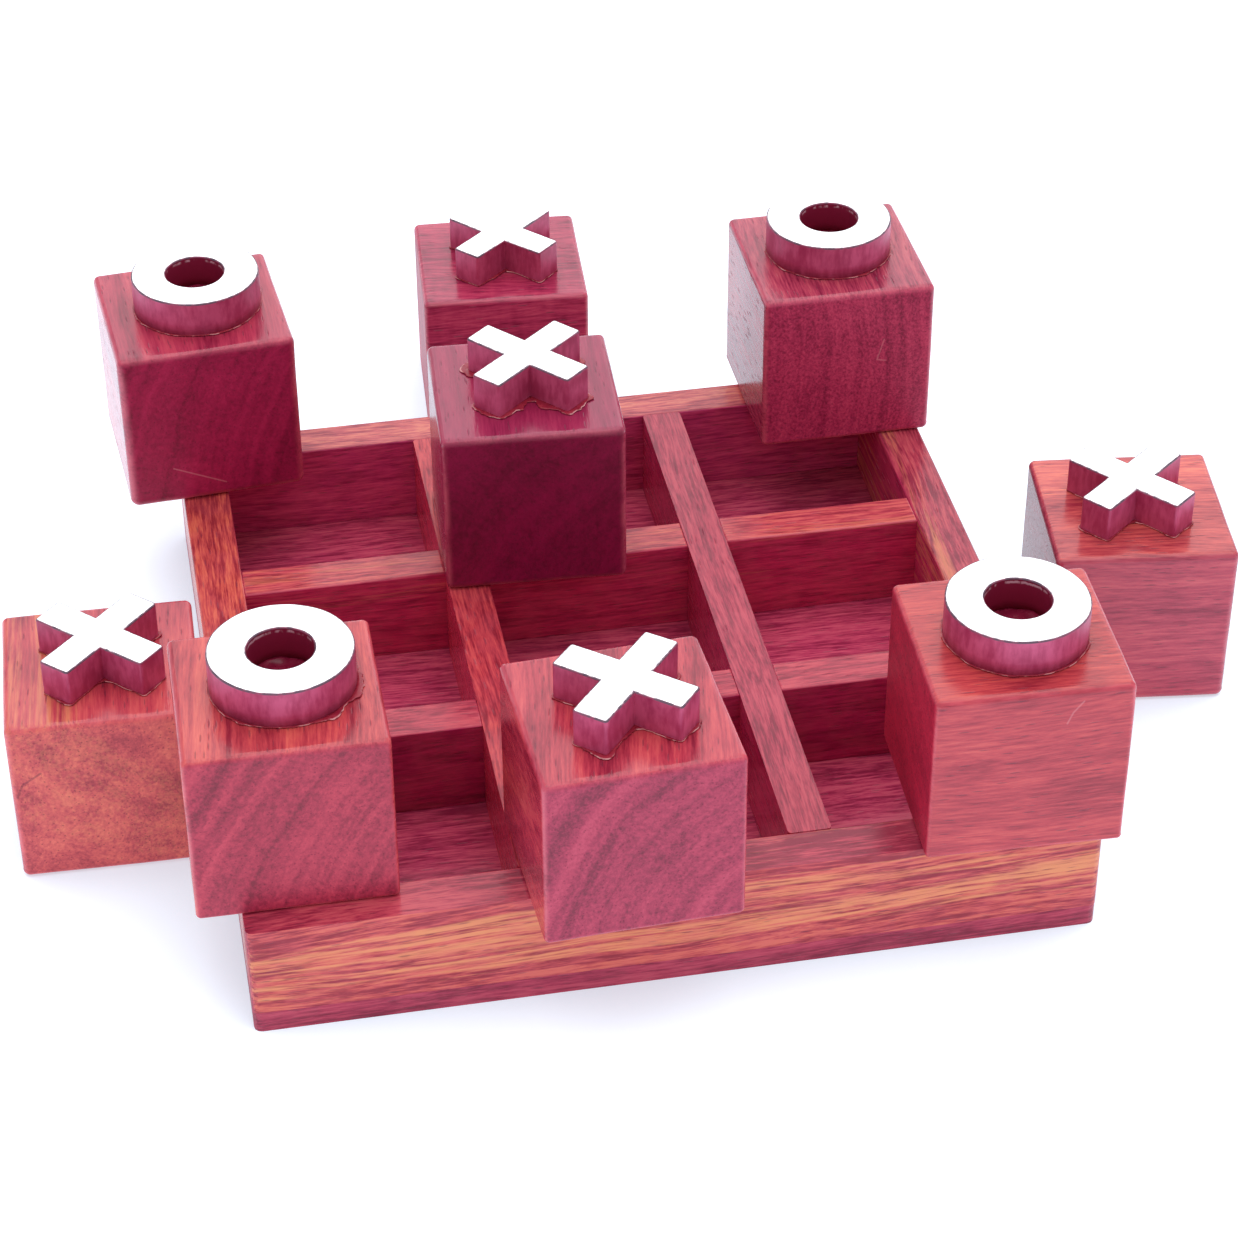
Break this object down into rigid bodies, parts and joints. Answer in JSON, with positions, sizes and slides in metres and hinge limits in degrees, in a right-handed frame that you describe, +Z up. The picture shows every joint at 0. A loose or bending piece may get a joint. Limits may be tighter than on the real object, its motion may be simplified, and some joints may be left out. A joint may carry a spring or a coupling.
{
  "type": "tic tac toe set",
  "caption": "Open wooden tray with a square grid of cells, and loose wooden blocks that each carry a thick metal X or O.",
  "frame": {"origin": "centre of the tray's underside, on the table", "axes": "+Z up, +X to the players' right along the tray's front wall, -Y towards the front"},
  "size_m": [0.2353, 0.2236, 0.0637],
  "materials": {
    "tray_wood": "polished red hardwood",
    "block_wood": "polished red hardwood",
    "figure_metal": "polished"
  },
  "bodies": {
    "tray": {"base_board": "tray_wood", "front_wall": "tray_wood", "back_wall": "tray_wood", "left_wall": "tray_wood", "right_wall": "tray_wood", "long_divider_left": "tray_wood", "long_divider_right": "tray_wood", "cross_divider_back": "tray_wood", "cross_divider_front": "tray_wood"},
    "piece_o_1": {"block_o_1": "block_wood", "figure_o_1": "figure_metal"},
    "piece_o_2": {"block_o_2": "block_wood", "figure_o_2": "figure_metal"},
    "piece_o_3": {"block_o_3": "block_wood", "figure_o_3": "figure_metal"},
    "piece_o_4": {"block_o_4": "block_wood", "figure_o_4": "figure_metal"},
    "piece_x_1": {"block_x_1": "block_wood", "figure_x_1": "figure_metal"},
    "piece_x_2": {"block_x_2": "block_wood", "figure_x_2": "figure_metal"},
    "piece_x_3": {"block_x_3": "block_wood", "figure_x_3": "figure_metal"},
    "piece_x_4": {"block_x_4": "block_wood", "figure_x_4": "figure_metal"},
    "piece_x_5": {"block_x_5": "block_wood", "figure_x_5": "figure_metal"}
  },
  "joints": [
    {"name": "lift_o_1", "type": "slide", "parent": "tray", "child": "piece_o_1", "axis": [0, 0, 1], "range_m": [0, 0.06]},
    {"name": "lift_o_2", "type": "slide", "parent": "tray", "child": "piece_o_2", "axis": [0, 0, 1], "range_m": [0, 0.06]},
    {"name": "lift_o_3", "type": "slide", "parent": "tray", "child": "piece_o_3", "axis": [0, 0, 1], "range_m": [0, 0.06]},
    {"name": "lift_o_4", "type": "slide", "parent": "tray", "child": "piece_o_4", "axis": [0, 0, 1], "range_m": [0, 0.06]},
    {"name": "lift_x_1", "type": "slide", "parent": "tray", "child": "piece_x_1", "axis": [0, 0, 1], "range_m": [0, 0.06]},
    {"name": "lift_x_2", "type": "slide", "parent": "tray", "child": "piece_x_2", "axis": [0, 0, 1], "range_m": [0, 0.06]},
    {"name": "lift_x_3", "type": "slide", "parent": "tray", "child": "piece_x_3", "axis": [0, 0, 1], "range_m": [0, 0.06]},
    {"name": "lift_x_4", "type": "slide", "parent": "tray", "child": "piece_x_4", "axis": [0, 0, 1], "range_m": [0, 0.06]},
    {"name": "lift_x_5", "type": "slide", "parent": "tray", "child": "piece_x_5", "axis": [0, 0, 1], "range_m": [0, 0.06]}
  ]
}
